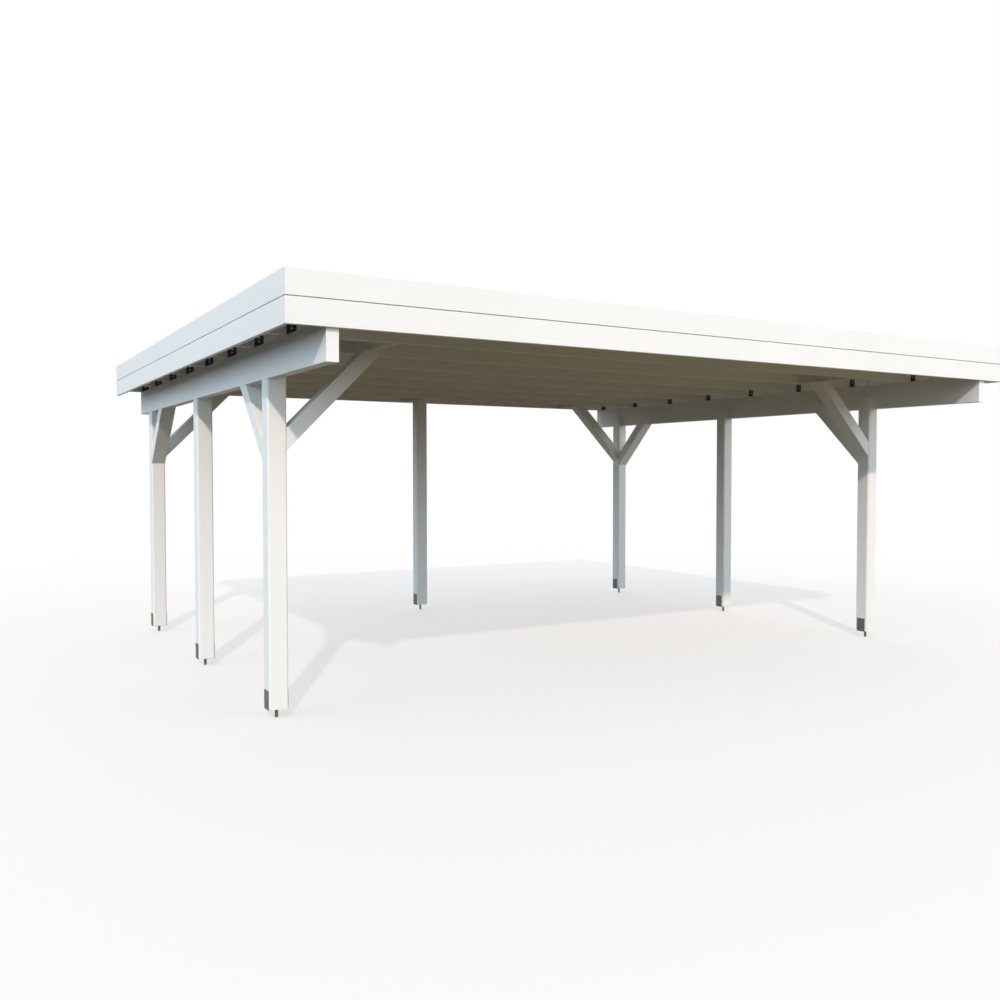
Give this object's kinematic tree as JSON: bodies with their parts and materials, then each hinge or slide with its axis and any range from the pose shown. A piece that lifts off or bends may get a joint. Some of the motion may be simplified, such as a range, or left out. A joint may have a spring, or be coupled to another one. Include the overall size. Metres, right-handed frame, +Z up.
{
  "type": "carport",
  "caption": "Free-standing flat-roofed timber carport: square posts on steel shoes, side purlins, cross rafters, corner braces and a deep board fascia; shelters parked cars.",
  "frame": {"origin": "on the ground, under the middle of the roof", "axes": "+X to the right across the entrance, +Y from the entrance to the rear, +Z up"},
  "size_m": [6.32, 5.416, 2.6365],
  "materials": {
    "painted_timber": "painted white, satin",
    "painted_fascia": "painted white, satin",
    "painted_boards": "painted white, matt",
    "galvanised_steel": "hot-dip galvanised",
    "black_steel": "black coated",
    "roof_sheet": "mineral, matt"
  },
  "bodies": {
    "root": {"front_left_post": "painted_timber", "middle_left_post": "painted_timber", "rear_left_post": "painted_timber", "front_right_post": "painted_timber", "middle_right_post": "painted_timber", "rear_right_post": "painted_timber", "rear_centre_post": "painted_timber", "left_purlin": "painted_timber", "right_purlin": "painted_timber", "front_left_side_brace": "painted_timber", "rear_left_side_brace": "painted_timber", "front_right_side_brace": "painted_timber", "rear_right_side_brace": "painted_timber", "front_left_cross_brace": "painted_timber", "rear_left_cross_brace": "painted_timber", "front_right_cross_brace": "painted_timber", "rear_right_cross_brace": "painted_timber", "rafter_1": "painted_timber", "rafter_2": "painted_timber", "rafter_3": "painted_timber", "rafter_4": "painted_timber", "rafter_5": "painted_timber", "rafter_6": "painted_timber", "rafter_7": "painted_timber", "rafter_8": "painted_timber", "rafter_9": "painted_timber", "trimmers": "painted_timber", "front_left_shoe": "galvanised_steel", "middle_left_shoe": "galvanised_steel", "rear_left_shoe": "galvanised_steel", "front_right_shoe": "galvanised_steel", "middle_right_shoe": "galvanised_steel", "rear_right_shoe": "galvanised_steel", "rear_centre_shoe": "galvanised_steel", "front_fascia_lower": "painted_fascia", "left_fascia_lower": "painted_fascia", "right_fascia_lower": "painted_fascia", "front_fascia_upper": "painted_fascia", "left_fascia_upper": "painted_fascia", "right_fascia_upper": "painted_fascia", "rear_eaves_board": "painted_fascia", "angle_brackets": "black_steel", "roof_deck": "painted_boards", "roof_sheet": "roof_sheet"}
  },
  "joints": []
}
